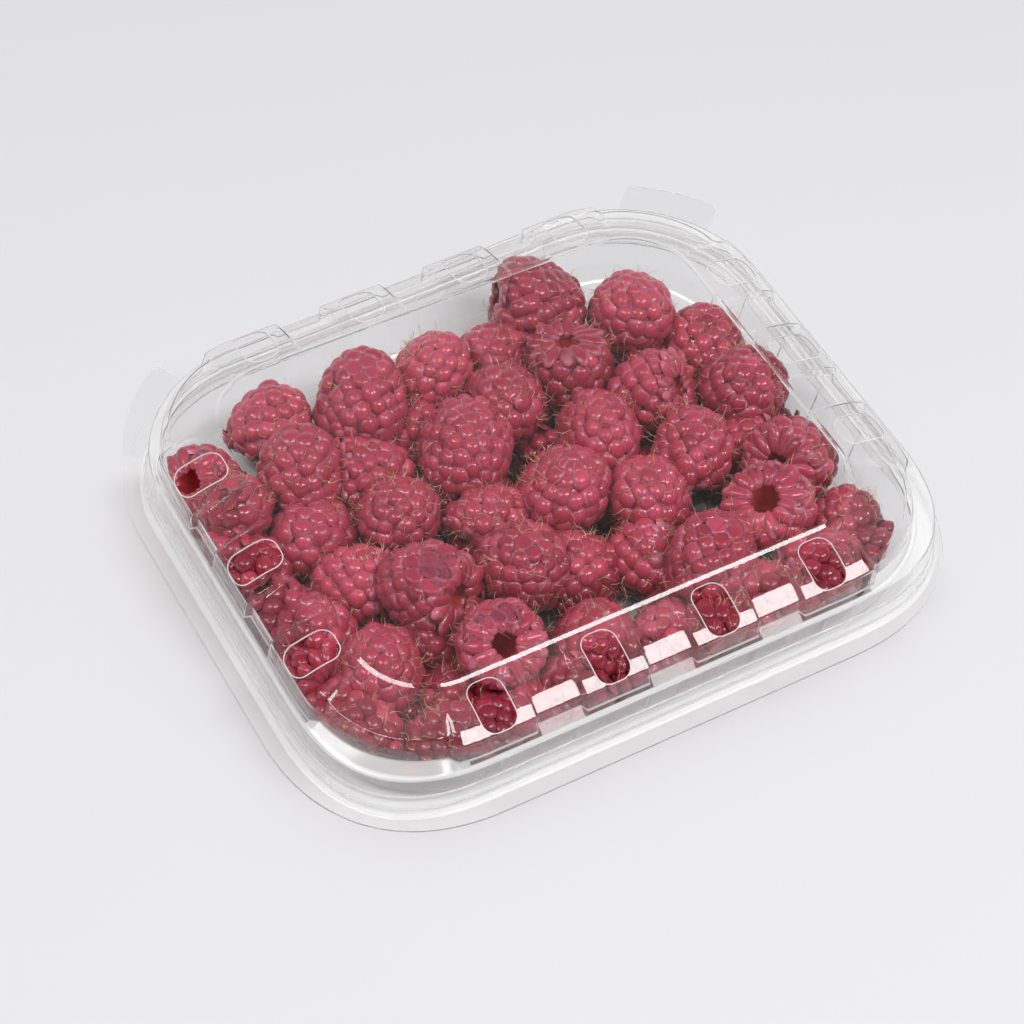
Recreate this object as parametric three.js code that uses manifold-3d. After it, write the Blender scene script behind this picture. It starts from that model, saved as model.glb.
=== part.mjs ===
// Punnet of raspberries: a shallow thermoformed tray, a push-on vented lid and one heap of berries.
// Millimetres, +Z up. The origin is the middle of the base, on the surface that the punnet stands on.
// X runs along the long side and Y along the short side, with the front at -Y.

import * as THREE from 'three';
import { mergeVertices } from 'three/addons/utils/BufferGeometryUtils.js';
import Module from 'manifold-3d';

const wasm = await Module();
wasm.setup();

// ---- driving dimensions -------------------------------------------------------------------------

const HEIGHT = 24.5; // floor to the lid's top panel
const SHEET = 0.6; // thickness of both plastic sheets
const SHARPEST_MITRE = 0.7; // limits how far a corner of the sheet's inner face moves
const FLATNESS = 0.02; // faces that lie this close to one plane are joined

// The lid's flat top panel. Every other outline runs round it at an even distance.
const TOP_HALF_LENGTH = 52.6;
const TOP_HALF_WIDTH = 41.6;
const TOP_CORNER_RADIUS = 14.3;
const CORNER_X = TOP_HALF_LENGTH - TOP_CORNER_RADIUS;
const CORNER_Y = TOP_HALF_WIDTH - TOP_CORNER_RADIUS;

// The lid's shoulder bulges out where a vent is cut, and is pushed in between the bulges.
const BULGE_HALF_WIDTH = 6.5;
const BULGE_RAMP = 1;
const LONG_SIDE_BULGES = [-35.7, -11.9, 11.9, 35.7];
const SHORT_SIDE_BULGES = [-23.6, 0, 23.6];
const LONG_CORNER_BULGE_ANGLE = 11.5; // how far a side's last bulge runs into the corner, in degrees
const SHORT_CORNER_BULGE_ANGLE = 8;
const CORNER_RAMP_ANGLE = 3.5;

const VENT = { width: 7, length: 10.2, radius: 2.5, out: 6.85, drop: 2.15, slope: 20 };

// Sections through the lid's outer face: distance out from the top panel's edge, and height
// against the top panel. The first is taken through a bulge, the second between two bulges.
const LID_BULGE = [
  [0, 0], [0.4, -0.5], [6, -1.2], [9.6, -2.3], [11.9, -3.7], [12.3, -5.2], [12.4, -8.5],
  [13.8, -10.3], [14.4, -13], [14.1, -14], [14.8, -15.6], [14.7, -17.2], [15.4, -18.2], [19, -18.5],
];
const LID_RECESS = [
  [0, 0], [0.4, -0.5], [6, -2], [9.2, -3.3], [10.9, -4.6], [11.3, -6], [11.4, -8.5],
  [13.8, -10.3], [14.4, -13], [14.1, -14], [14.8, -15.6], [14.7, -17.2], [15.4, -18.2], [19, -18.5],
];

// Section through the tray's upper face, from the base outwards, then through its lower face.
const TRAY_INSIDE = [
  [7.5, -23.9], [9.4, -22.5], [10.3, -20], [11.4, -10.9], [12.8, -10.9], [13.2, -17.6],
  [14.3, -19.2], [18.7, -19.4],
];
const TRAY_OUTSIDE = [
  [18.7, -20], [14.1, -19.9], [12.6, -17.8], [12, -11.6], [10.9, -20], [10, -22.9], [7.9, -24.5],
];
const RIB_DEPTH = 0.7; // how far an upright rib of the tray's wall stands into the tray
const TRAY_WALL_RINGS = { inside: [1, 2, 3], outside: [4, 5] }; // section points that the ribs move
const LONG_SIDE_RIBS = { at: [-31.4, -15.7, 0, 15.7, 31.4], width: 6.2 };
const SHORT_SIDE_RIBS = { at: [-21.15, -7.05, 7.05, 21.15], width: 4.6 };
const RIB_RAMP = 0.6;

// Places where the lid's flange reaches out further round a corner, for lifting the lid off.
const FLANGE_OUT = 19;
const FLANGE_DROP = 18.5;
const FLANGE_TABS = [
  { corner: [1, 1], from: 32, to: 61, outFrom: 34.3, outTo: 34.3 },
  { corner: [-1, 1], from: 148, to: 104, outFrom: 19, outTo: 27 },
  { corner: [1, -1], from: -40, to: -4, outFrom: 19.5, outTo: 24 },
];

// Room for the berries: a section like the ones above, clear of both sheets.
const ROOM = [
  [7, -23.5], [8.3, -22.3], [9.2, -20], [10.1, -12.2], [10.3, -6.4], [9.9, -5.4], [8.5, -4.3],
  [5.6, -3], [3, -1.8], [0.3, -1.5], [-0.6, -1],
];

// The core that the berries stand in.
const CORE = { left: -60, right: 56, front: -48, back: 38, corner: 17, bottom: 0.9, top: 7 };

// The berries, row by row from the front and from left to right in a row. Each has the place and
// the height of its middle, its width, the heading and the rise of its stem end in degrees, and
// an H where that end shows the hollow that the stalk left.
const BERRY_ROWS = [
  [[-56, -38, 12, 16, 240, -25], [-42, -44, 12, 17, 200, -20], [-24, -45, 9, 15, 60, -45],
    [-8, -39, 12, 17, 60, -45], [5, -43, 8, 16, 30, -30], [14, -47, 13, 12, 90, -30],
    [28, -45, 12, 15, 120, -20], [41, -43, 11, 16, 180, -10], [52, -35, 9, 16, 220, -30]],
  [[-54, -13, 10, 17, 60, -50], [-47, -27, 12, 18, 60, -50], [-25, -33, 15, 18, 250, 55, 'H'],
    [-34, -23, 8, 14, 150, 0], [21, -34, 14, 19, 230, -40], [38, -28, 14, 19, 205, 65, 'H']],
  [[-41, -5, 10, 16, 320, 15], [-31, -15, 15, 18, 300, 20, 'H'], [-12, -19, 15, 18, 60, -50],
    [0, -21, 9, 16, 170, 5], [12, -24, 9, 16, 320, 30, 'H'], [19, -14, 13, 17, 60, -50],
    [33, -7, 13, 17, 240, -40], [50, -18, 12, 18, 200, 35, 'H']],
  [[-58, 6, 9, 17, 60, -45], [-43, 9, 9, 17, 60, -50], [-27, 4, 13, 17, 60, -45],
    [-11, -4, 11, 16, 200, -10], [5, -5, 13, 19, 60, -50], [19, 5, 12, 18, 70, -40],
    [45, -8, 8, 14, 0, 0], [52, 3, 12, 18, 60, -45]],
  [[-56, 29, 9, 17, 185, 55, 'H'], [-55, 18, 16, 14, 60, -45], [-39, 22, 14, 17, 245, -40],
    [-26, 18, 10, 16, 160, 10], [-8, 12, 13, 20, 60, -15], [6, 20, 13, 17, 60, -45],
    [34, 10, 12, 17, 320, 35, 'H'], [52, 18, 9, 17, 240, -35]],
  [[-38, 37, 11, 16, 205, -35], [-20, 33, 14, 19, 240, -30], [-3, 34, 13, 17, 60, -45],
    [11, 34, 11, 15, 200, 0], [22, 23, 12, 18, 95, 75, 'H'], [25, 42, 12, 19, 160, 55, 'H'],
    [41, 30, 13, 18, 60, -50]],
];
const BERRY_LENGTH = 1.08; // length of a berry against its width
const BERRY_SIDES = 8;
const BERRY_UNEVENNESS = 0.05;
// Half a section of a berry from its tip to its stem end, in shares of its half width and length.
const BERRY_OUTSIDE = [[0.6, -0.82], [0.98, -0.2], [0.96, 0.45], [0.6, 0.98]];
const BERRY_HOLLOW = [[0.36, 0.86], [0.26, 0.2]];

const PLASTIC = new THREE.MeshStandardMaterial({
  color: 0xe6ebee, roughness: 0.08, metalness: 0, transparent: true, opacity: 0.35, flatShading: true,
});
const FRUIT = new THREE.MeshStandardMaterial({
  color: 0xa32638, roughness: 0.4, metalness: 0, flatShading: true,
});

// ---- helpers ------------------------------------------------------------------------------------

// The same random numbers on every run.
function seededRandom(seed) {
  let state = seed;
  return () => {
    state = (state * 1664525 + 1013904223) % 4294967296;
    return state / 4294967296;
  };
}

function toSolid(geometry) {
  const bare = geometry.clone();
  bare.deleteAttribute('normal');
  bare.deleteAttribute('uv');
  const merged = mergeVertices(bare, 1e-4);
  const index = merged.index.array;
  const triangles = [];
  for (let i = 0; i < index.length; i += 3) {
    const [a, b, c] = [index[i], index[i + 1], index[i + 2]];
    if (a !== b && b !== c && c !== a) triangles.push(a, b, c);
  }
  return new wasm.Manifold(new wasm.Mesh({
    numProp: 3,
    vertProperties: new Float32Array(merged.attributes.position.array),
    triVerts: new Uint32Array(triangles),
  }));
}

function toMesh(solid, name, material) {
  const result = solid.asOriginal().simplify(FLATNESS).getMesh();
  const geometry = new THREE.BufferGeometry();
  geometry.setAttribute('position', new THREE.BufferAttribute(result.vertProperties, 3));
  geometry.setIndex(new THREE.BufferAttribute(result.triVerts, 1));
  geometry.computeVertexNormals();
  const mesh = new THREE.Mesh(geometry, material);
  mesh.name = name;
  return mesh;
}

// The stations of one outline, anticlockwise from the front left corner. Each station has a point
// on the top panel's edge, the direction out from there, and a share from 0 to 1 for how far the
// wall is pushed in. The marks are [place, share] pairs: along a side, or degrees into a corner
// from the long side.
function outlineStations(longMarks, shortMarks, cornerMarks) {
  const stations = [];
  const side = (marks, normal, offset) => marks.forEach(([place, share]) => {
    const point = normal.clone().multiplyScalar(offset);
    point.add(new THREE.Vector2(-normal.y, normal.x).multiplyScalar(place));
    stations.push({ point, normal, share });
  });
  const corner = (marks, signX, signY, angleOf) => marks.forEach(([angle, share]) => {
    const turn = THREE.MathUtils.degToRad(angleOf(angle));
    const normal = new THREE.Vector2(Math.cos(turn), Math.sin(turn));
    const point = new THREE.Vector2(signX * CORNER_X, signY * CORNER_Y);
    point.addScaledVector(normal, TOP_CORNER_RADIUS);
    stations.push({ point, normal, share });
  });
  const backwards = [...cornerMarks].reverse();
  side(longMarks, new THREE.Vector2(0, -1), TOP_HALF_WIDTH);
  corner(cornerMarks, 1, -1, (angle) => angle - 90);
  side(shortMarks, new THREE.Vector2(1, 0), TOP_HALF_LENGTH);
  corner(backwards, 1, 1, (angle) => 90 - angle);
  side(longMarks, new THREE.Vector2(0, 1), TOP_HALF_WIDTH);
  corner(cornerMarks, -1, 1, (angle) => angle + 90);
  side(shortMarks, new THREE.Vector2(-1, 0), TOP_HALF_LENGTH);
  corner(backwards, -1, -1, (angle) => 270 - angle);
  return stations;
}

// Marks across a row of raised or sunk panels: ramp up, panel, ramp down.
function panelMarks(centres, halfWidth, ramp, onPanel, offPanel) {
  return centres.flatMap((centre) => [
    [centre - halfWidth - ramp, offPanel],
    [centre - halfWidth, onPanel],
    [centre + halfWidth, onPanel],
    [centre + halfWidth + ramp, offPanel],
  ]);
}

// A closed body whose rings run round the stations. Each ring is given as a pair of section points,
// one for a share of 0 and one for a share of 1. The first and last rings are closed by flat faces.
function loft(stations, rings) {
  const count = stations.length;
  const positions = [];
  const index = [];
  rings.forEach(([outer, inner]) => stations.forEach(({ point, normal, share }) => {
    const out = THREE.MathUtils.lerp(outer[0], inner[0], share);
    const height = THREE.MathUtils.lerp(outer[1], inner[1], share);
    positions.push(point.x + normal.x * out, point.y + normal.y * out, HEIGHT + height);
  }));
  for (let ring = 0; ring < rings.length - 1; ring += 1) {
    for (let i = 0; i < count; i += 1) {
      const next = (i + 1) % count;
      const [a, b] = [ring * count + i, ring * count + next];
      index.push(a, a + count, b, b, a + count, b + count);
    }
  }
  const firstCentre = positions.length / 3;
  positions.push(0, 0, HEIGHT + rings[0][0][1]);
  positions.push(0, 0, HEIGHT + rings[rings.length - 1][0][1]);
  const lastRing = (rings.length - 1) * count;
  for (let i = 0; i < count; i += 1) {
    const next = (i + 1) % count;
    index.push(firstCentre, i, next);
    index.push(firstCentre + 1, lastRing + next, lastRing + i);
  }
  const geometry = new THREE.BufferGeometry();
  geometry.setAttribute('position', new THREE.Float32BufferAttribute(positions, 3));
  geometry.setIndex(index);
  return geometry;
}

// A section moved in by the thickness of the sheet.
function innerFace(section) {
  const inwards = (from, to) => new THREE.Vector2(to[1] - from[1], from[0] - to[0]).normalize();
  return section.map((point, i) => {
    const last = section.length - 1;
    const arriving = inwards(section[Math.max(i - 1, 0)], section[Math.max(i, 1)]);
    const leaving = inwards(section[Math.min(i, last - 1)], section[Math.min(i + 1, last)]);
    const middle = arriving.clone().add(leaving).normalize();
    const reach = SHEET / Math.max(middle.dot(arriving), SHARPEST_MITRE);
    return [point[0] + middle.x * reach, point[1] + middle.y * reach];
  });
}

// ---- tray ---------------------------------------------------------------------------------------

function makeTray() {
  const ribs = (row) => panelMarks(row.at, row.width / 2, RIB_RAMP, 1, 0);
  const stations = outlineStations(
    [[-CORNER_X, 0], ...ribs(LONG_SIDE_RIBS), [CORNER_X, 0]],
    [[-CORNER_Y, 0], ...ribs(SHORT_SIDE_RIBS), [CORNER_Y, 0]],
    [15, 30, 45, 60, 75].map((angle) => [angle, 0]),
  );
  const withRibs = (section, moved) => section.map((point, i) => {
    const depth = moved.includes(i) ? RIB_DEPTH : 0;
    return [point, [point[0] - depth, point[1]]];
  });
  const rings = [
    ...withRibs(TRAY_INSIDE, TRAY_WALL_RINGS.inside),
    ...withRibs(TRAY_OUTSIDE, TRAY_WALL_RINGS.outside),
  ];
  return toMesh(toSolid(loft(stations, rings)), 'tray', PLASTIC);
}

// ---- lid ----------------------------------------------------------------------------------------

// A rounded slot through the shoulder of one bulge.
function ventCutter(place, normal, offset) {
  const [w, l, r] = [VENT.width / 2, VENT.length / 2, VENT.radius];
  const slot = new THREE.Shape();
  slot.moveTo(w - r, -l);
  slot.absarc(w - r, -l + r, r, -Math.PI / 2, 0);
  slot.absarc(w - r, l - r, r, 0, Math.PI / 2);
  slot.absarc(-w + r, l - r, r, Math.PI / 2, Math.PI);
  slot.absarc(-w + r, -l + r, r, Math.PI, Math.PI * 1.5);
  const depth = 6;
  const cutter = new THREE.ExtrudeGeometry(slot, { depth, bevelEnabled: false, curveSegments: 3 });
  cutter.translate(0, 0, -depth / 2);
  const slope = THREE.MathUtils.degToRad(VENT.slope);
  const along = new THREE.Vector3(-normal.y, normal.x, 0);
  const down = new THREE.Vector3(normal.x * Math.cos(slope), normal.y * Math.cos(slope), -Math.sin(slope));
  const axis = new THREE.Vector3().crossVectors(along, down);
  const placeAt = new THREE.Matrix4().makeBasis(along, down, axis);
  const middle = along.clone().multiplyScalar(place);
  middle.add(new THREE.Vector3(normal.x, normal.y, 0).multiplyScalar(offset + VENT.out));
  placeAt.setPosition(middle.x, middle.y, HEIGHT - VENT.drop);
  cutter.applyMatrix4(placeAt);
  return toSolid(cutter);
}

// A flat lip round a corner, outside the flange, whose reach runs evenly from one end to the other.
function flangeTab({ corner, from, to, outFrom, outTo }) {
  const steps = 10;
  const rim = TOP_CORNER_RADIUS + FLANGE_OUT - 1;
  const at = (radius, share) => {
    const angle = THREE.MathUtils.degToRad(THREE.MathUtils.lerp(from, to, share));
    return new THREE.Vector2(
      corner[0] * CORNER_X + radius * Math.cos(angle),
      corner[1] * CORNER_Y + radius * Math.sin(angle),
    );
  };
  const shares = Array.from({ length: steps + 1 }, (_, i) => i / steps);
  const outer = shares.map((share) => (
    at(TOP_CORNER_RADIUS + THREE.MathUtils.lerp(outFrom, outTo, share), share)
  ));
  const inner = shares.map((share) => at(rim, share)).reverse();
  const outline = new THREE.Shape([...outer, ...inner]);
  const tab = new THREE.ExtrudeGeometry(outline, { depth: SHEET, bevelEnabled: false });
  tab.translate(0, 0, HEIGHT - FLANGE_DROP - SHEET);
  return toSolid(tab);
}

function makeLid() {
  const bulges = (centres) => panelMarks(centres, BULGE_HALF_WIDTH, BULGE_RAMP, 0, 1);
  const onSide = (limit) => ([place]) => Math.abs(place) < limit;
  const stations = outlineStations(
    [[-CORNER_X, 0], ...bulges(LONG_SIDE_BULGES).filter(onSide(CORNER_X)), [CORNER_X, 0]],
    [[-CORNER_Y, 0], ...bulges(SHORT_SIDE_BULGES).filter(onSide(CORNER_Y)), [CORNER_Y, 0]],
    [
      [LONG_CORNER_BULGE_ANGLE, 0], [LONG_CORNER_BULGE_ANGLE + CORNER_RAMP_ANGLE, 1],
      [28, 1], [41, 1], [54, 1], [67, 1],
      [90 - SHORT_CORNER_BULGE_ANGLE - CORNER_RAMP_ANGLE, 1], [90 - SHORT_CORNER_BULGE_ANGLE, 0],
    ],
  );
  const outside = LID_BULGE.map((point, i) => [point, LID_RECESS[i]]);
  const [bulgeInside, recessInside] = [innerFace(LID_BULGE), innerFace(LID_RECESS)];
  const inside = bulgeInside.map((point, i) => [point, recessInside[i]]).reverse();
  let lid = toSolid(loft(stations, [...outside, ...inside]));
  const cut = (place, normal, offset) => {
    lid = lid.subtract(ventCutter(place, normal, offset));
  };
  [-1, 1].forEach((sign) => {
    LONG_SIDE_BULGES.forEach((place) => cut(place, new THREE.Vector2(0, sign), TOP_HALF_WIDTH));
    SHORT_SIDE_BULGES.forEach((place) => cut(place, new THREE.Vector2(sign, 0), TOP_HALF_LENGTH));
  });
  FLANGE_TABS.forEach((tab) => {
    lid = lid.add(flangeTab(tab));
  });
  return toMesh(lid, 'lid', PLASTIC);
}

// ---- raspberries --------------------------------------------------------------------------------

function makeBerry([x, y, z, width, heading, rise, hollow], random) {
  const length = width * BERRY_LENGTH;
  const section = [[0, -1], ...BERRY_OUTSIDE, ...(hollow ? BERRY_HOLLOW : []), [0, hollow ? 0.1 : 0.9]];
  const points = section.map(([out, along]) => new THREE.Vector2(out * width / 2, along * length / 2));
  const berry = new THREE.LatheGeometry(points, BERRY_SIDES);
  const smooth = mergeVertices(berry.deleteAttribute('normal').deleteAttribute('uv'), 1e-4);
  const place = smooth.attributes.position;
  for (let i = 0; i < place.count; i += 1) {
    const swell = 1 + BERRY_UNEVENNESS * (2 * random() - 1);
    place.setXYZ(i, place.getX(i) * swell, place.getY(i) * swell, place.getZ(i) * swell);
  }
  const [turn, lift] = [heading, rise].map(THREE.MathUtils.degToRad);
  const stem = new THREE.Vector3(
    Math.cos(turn) * Math.cos(lift),
    Math.sin(turn) * Math.cos(lift),
    Math.sin(lift),
  );
  smooth.applyQuaternion(new THREE.Quaternion().setFromUnitVectors(new THREE.Vector3(0, 1, 0), stem));
  smooth.translate(x, y, z);
  return toSolid(smooth);
}

function makeCore() {
  const { left, right, front, back, corner, bottom, top } = CORE;
  const outline = new THREE.Shape();
  outline.moveTo(right - corner, front);
  outline.absarc(right - corner, front + corner, corner, -Math.PI / 2, 0);
  outline.absarc(right - corner, back - corner, corner, 0, Math.PI / 2);
  outline.absarc(left + corner, back - corner, corner, Math.PI / 2, Math.PI);
  outline.absarc(left + corner, front + corner, corner, Math.PI, Math.PI * 1.5);
  const core = new THREE.ExtrudeGeometry(outline, {
    depth: top - bottom, bevelEnabled: false, curveSegments: 4,
  });
  core.translate(0, 0, bottom);
  return toSolid(core);
}

// The room inside the shut punnet, which the heap fills without touching the sheets.
function makeRoom() {
  const corners = [15, 30, 45, 60, 75].map((angle) => [angle, 0]);
  const stations = outlineStations(
    [[-CORNER_X, 0], [CORNER_X, 0]],
    [[-CORNER_Y, 0], [CORNER_Y, 0]],
    corners,
  );
  return toSolid(loft(stations, ROOM.map((point) => [point, point]).reverse()));
}

function makeHeap() {
  const random = seededRandom(11);
  let heap = makeCore();
  BERRY_ROWS.flat().forEach((berry) => {
    heap = heap.add(makeBerry(berry, random));
  });
  heap = heap.intersect(makeRoom());
  const pieces = heap.decompose().sort((a, b) => b.volume() - a.volume());
  return toMesh(pieces[0], 'raspberries', FRUIT);
}

const punnet = new THREE.Group();
punnet.add(makeTray(), makeLid(), makeHeap());

export default punnet;
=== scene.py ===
import math

import bmesh
import bpy
import numpy as np
from mathutils import Matrix, Quaternion, Vector


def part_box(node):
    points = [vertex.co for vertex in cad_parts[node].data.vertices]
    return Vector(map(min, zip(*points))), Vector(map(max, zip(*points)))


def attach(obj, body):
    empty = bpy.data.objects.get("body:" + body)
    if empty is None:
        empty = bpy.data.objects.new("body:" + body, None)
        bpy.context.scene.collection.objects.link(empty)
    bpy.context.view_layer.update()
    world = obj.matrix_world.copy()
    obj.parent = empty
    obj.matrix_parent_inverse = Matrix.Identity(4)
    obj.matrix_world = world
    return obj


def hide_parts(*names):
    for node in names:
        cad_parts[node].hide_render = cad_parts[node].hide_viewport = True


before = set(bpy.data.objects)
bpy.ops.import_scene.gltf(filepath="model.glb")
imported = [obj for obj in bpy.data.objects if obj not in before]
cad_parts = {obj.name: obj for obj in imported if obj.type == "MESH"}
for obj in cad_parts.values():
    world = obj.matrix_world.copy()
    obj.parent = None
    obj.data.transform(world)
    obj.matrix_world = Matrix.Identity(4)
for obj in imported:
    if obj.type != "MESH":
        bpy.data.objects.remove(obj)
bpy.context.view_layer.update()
bpy.ops.object.select_all(action="DESELECT")

# ---- tray ---------------------------------------------------------------------------------------
# The real tray is one thin sheet of clear PET, drawn down over a mould: a flat base, a ribbed wall,
# a narrow rim that carries the lid and a flat flange. It is lofted ring by ring round the punnet.

MM = 0.001
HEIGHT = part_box("lid")[1].z / MM  # floor to the lid's top panel, in mm
PANEL_X = 52.6  # half length of the lid's top panel, which every outline runs round
PANEL_Y = 41.6
PANEL_RADIUS = 14.3
CORNER_X = PANEL_X - PANEL_RADIUS
CORNER_Y = PANEL_Y - PANEL_RADIUS
STRAIGHT_STEP = 1.3  # between the places along a side
RAMP_STEPS = 6  # places on the ramp at each end of a raised panel or rib
CORNER_STEPS = 45
CORNER_BLEND = 22  # degrees over which a side's section turns into the corner's
BEND_STEPS = 5  # rings in each bend of a section
BEND_ROOM = 0.48  # share of the shorter flat beside it that a bend may take
SPREAD_RIGHT = 2  # how much further out the rim lies on the right, and at the two front corners
SPREAD_CORNER = 1.2
SPREAD_AT = (0, 12, 12.6, 13.4, 15.3, 18.6)  # distance out, and the share of the spread there
SPREAD_SHARE = (0, 1, 1, 1.9, 1.9, 1)
# Columns of a station: its place, its way out, its shares of the bulging section and of the
# corner's section, and its spread.
X, Y, OUT_X, OUT_Y, BULGED, CORNERED, SPREAD = range(7)
CLEAR, SKIRT, BEND_HIGHLIGHT = range(3)  # the materials of a sheet, in this order; the third is white, a painted highlight along the bends

TRAY_SHEET = 0.32
# Distance out from the top panel's edge, height against the top panel, radius of the bend.
TRAY_SECTION = [
    (-2, -24.3, 0), (6.9, -24.3, 1.2), (9.3, -22.9, 1.2), (10.5, -20, 1.5), (11.65, -11.35, 0.3),
    (12.45, -11.35, 0.3), (12.95, -17.6, 0.7), (14.2, -19.1, 0.7), (18.6, -19, 0),
]
TRAY_SKIRT_BEND = 4  # the bend of the section from which the skirt goes down
TRAY_SHARP = 50  # degrees from which an edge of the sheet stays sharp
TRAY_WALL_OUT = 12  # the wall lies within this distance from the panel's edge
TRAY_RIB_DEPTH = 0.7
TRAY_RIBS_LONG = ([-31.4, -15.7, 0, 15.7, 31.4], 3.1, 1.3)  # places, half width, ramp
TRAY_RIBS_SHORT = ([-21.15, -7.05, 7.05, 21.15], 2.3, 1.3)
TRAY_RIB_FOOT, TRAY_RIB_HEAD, TRAY_RIB_RAMP = -22.4, -12.2, 1.5


def smooth_step(t):
    """From 0 to 1 with level ends, and level beyond them."""
    t = np.clip(t, 0, 1)
    return t * t * (3 - 2 * t)


def panel_share(place, panels):
    """From 0 between the panels of a side to 1 on them, with a soft ramp at each end."""
    centres, half, ramp = panels
    nearest = min(abs(place - centre) for centre in centres)
    return float(1 - smooth_step((nearest - half) / ramp))


def side_places(half, panels):
    """Places along a side: evenly spaced, with more of them on the ramps of its panels."""
    centres, width, ramp = panels
    places = set(np.linspace(-half, half, int(2 * half / STRAIGHT_STEP) + 1).round(3))
    for centre in centres:
        for edge in (-1, 1):
            for step in range(RAMP_STEPS + 1):
                places.add(round(centre + edge * (width + ramp * step / RAMP_STEPS), 3))
    return sorted(place for place in places if abs(place) <= half)


def spread(place, out):
    """How much further out the rim and all below it lies: the outlines aren't quite concentric."""
    wide_right = max(out[0], 0) ** 2 + max(out[1], 0) ** 2 * (place[0] / PANEL_X + 1) / 2
    square = (2 * out[0] * out[1]) ** 2 if out[1] < 0 else 0
    return SPREAD_RIGHT * wide_right + SPREAD_CORNER * square


def stations(long_panels, short_panels, corner_share):
    """Points on the top panel's edge, anticlockwise from the front left, each with its way out, its
    share of the bulging section from 0 to 1, its share of the corner's section and its spread.
    corner_share gives the first at an angle from the long side."""
    found = []
    quarter = math.pi / 2
    for k, (half, offset, panels) in enumerate([
        (CORNER_X, PANEL_Y, long_panels), (CORNER_Y, PANEL_X, short_panels),
        (CORNER_X, PANEL_Y, long_panels), (CORNER_Y, PANEL_X, short_panels),
    ]):
        facing = -quarter + k * quarter
        out = np.array([math.cos(facing), math.sin(facing)]).round(9)
        along = np.array([-out[1], out[0]])
        for place in side_places(half, panels):
            edge = out * offset + along * place
            found.append((*edge, *out, panel_share(place, panels), 0, spread(edge, out)))
        centre = out * (offset - PANEL_RADIUS) + along * half
        for step in range(1, CORNER_STEPS):
            turn = quarter * step / CORNER_STEPS
            way = np.array([math.cos(facing + turn), math.sin(facing + turn)])
            from_long = math.degrees(turn if k % 2 == 0 else quarter - turn)
            cornered = min(1, from_long / CORNER_BLEND, (90 - from_long) / CORNER_BLEND)
            edge = centre + way * PANEL_RADIUS
            found.append((*edge, *way, corner_share(from_long), cornered, spread(edge, way)))
    return np.array(found)


def bent(section):
    """A section's points with each corner turned into a bend of its radius."""
    points = [np.array(p[:2], float) for p in section]
    found = [points[0]]
    for i in range(1, len(points) - 1):
        before, corner, after = points[i - 1], points[i], points[i + 1]
        room = BEND_ROOM * min(np.linalg.norm(corner - before), np.linalg.norm(after - corner))
        cut = min(section[i][2], room)
        start = corner + (before - corner) / np.linalg.norm(before - corner) * cut
        end = corner + (after - corner) / np.linalg.norm(after - corner) * cut
        for t in np.linspace(0, 1, BEND_STEPS):
            found.append((1 - t) ** 2 * start + 2 * t * (1 - t) * corner + t * t * end)
    found.append(points[-1])
    return np.array(found)


def new_piece(name, vertices, faces, material):
    """A smooth mesh object at the origin from vertices in mm."""
    mesh = bpy.data.meshes.new(name)
    mesh.from_pydata([tuple(v) for v in np.asarray(vertices) * MM], [], faces)
    mesh.materials.append(material)
    mesh.polygons.foreach_set("use_smooth", [True] * len(mesh.polygons))
    piece = bpy.data.objects.new(name, mesh)
    bpy.context.scene.collection.objects.link(piece)
    return piece


def loft(name, places, section_off, section_on, section_corner, materials, skirt_bend, clear):
    """A sheet through rings round the places. Each ring lies between its point of the section for a
    share of 0 and the one for a share of 1. The first ring is closed by one flat face. From the
    skirt's first bend on, the flats have the second material and the bends the third, a painted
    highlight, as has the ledge at the corners. clear says at which places the flange has the first
    material."""
    share, corner = places[:, BULGED, None], places[:, CORNERED, None]
    rings = []
    for off, on, turned in zip(section_off, section_on, section_corner):
        point = off + (turned - off) * corner
        out, height = (point + (on - point) * share).T
        out = out + places[:, SPREAD] * np.interp(out, SPREAD_AT, SPREAD_SHARE)
        rings.append(np.column_stack([
            places[:, X] + places[:, OUT_X] * out,
            places[:, Y] + places[:, OUT_Y] * out,
            HEIGHT + height,
        ]))
    count = len(places)
    faces = [tuple(range(count))]
    for ring in range(len(rings) - 1):
        for i in range(count):
            following = (i + 1) % count
            a, b = ring * count + i, ring * count + following
            faces.append((a, a + count, b + count, b))
    sheet = new_piece(name, np.concatenate(rings), faces, materials[CLEAR])
    sheet.data.materials.append(materials[SKIRT])
    sheet.data.materials.append(materials[BEND_HIGHLIGHT])
    own = [CLEAR] * len(faces)
    for ring in range(len(rings) - 1):
        bend, step = divmod(ring - 1, BEND_STEPS)
        if bend + 1 >= skirt_bend:
            kind = np.full(count, SKIRT if step == BEND_STEPS - 1 else BEND_HIGHLIGHT)
            if bend + 1 == skirt_bend:
                kind[places[:, CORNERED] > 0.5] = BEND_HIGHLIGHT
            if ring == len(rings) - 2:
                kind[clear] = CLEAR
            own[1 + ring * count:1 + (ring + 1) * count] = kind.tolist()
    sheet.data.polygons.foreach_set("material_index", own)
    return sheet


def apply_modifier(piece, kind, **settings):
    """Adds a modifier with these settings and applies it."""
    bpy.context.view_layer.objects.active = piece
    modifier = piece.modifiers.new(kind.title(), kind)
    for key, value in settings.items():
        setattr(modifier, key, value)
    bpy.ops.object.modifier_apply(modifier=modifier.name)


def finish_sheet(piece, thickness, to_bend):
    """Gives a lofted sheet its thickness on both sides of the loft. to_bend is how many materials
    after the flange's own that of its cut edge comes, so that the cut edge takes the bends' painted
    highlight."""
    apply_modifier(piece, "SOLIDIFY", thickness=thickness * MM, offset=0, use_even_offset=True,
                   thickness_clamp=0, material_offset_rim=to_bend)


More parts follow.
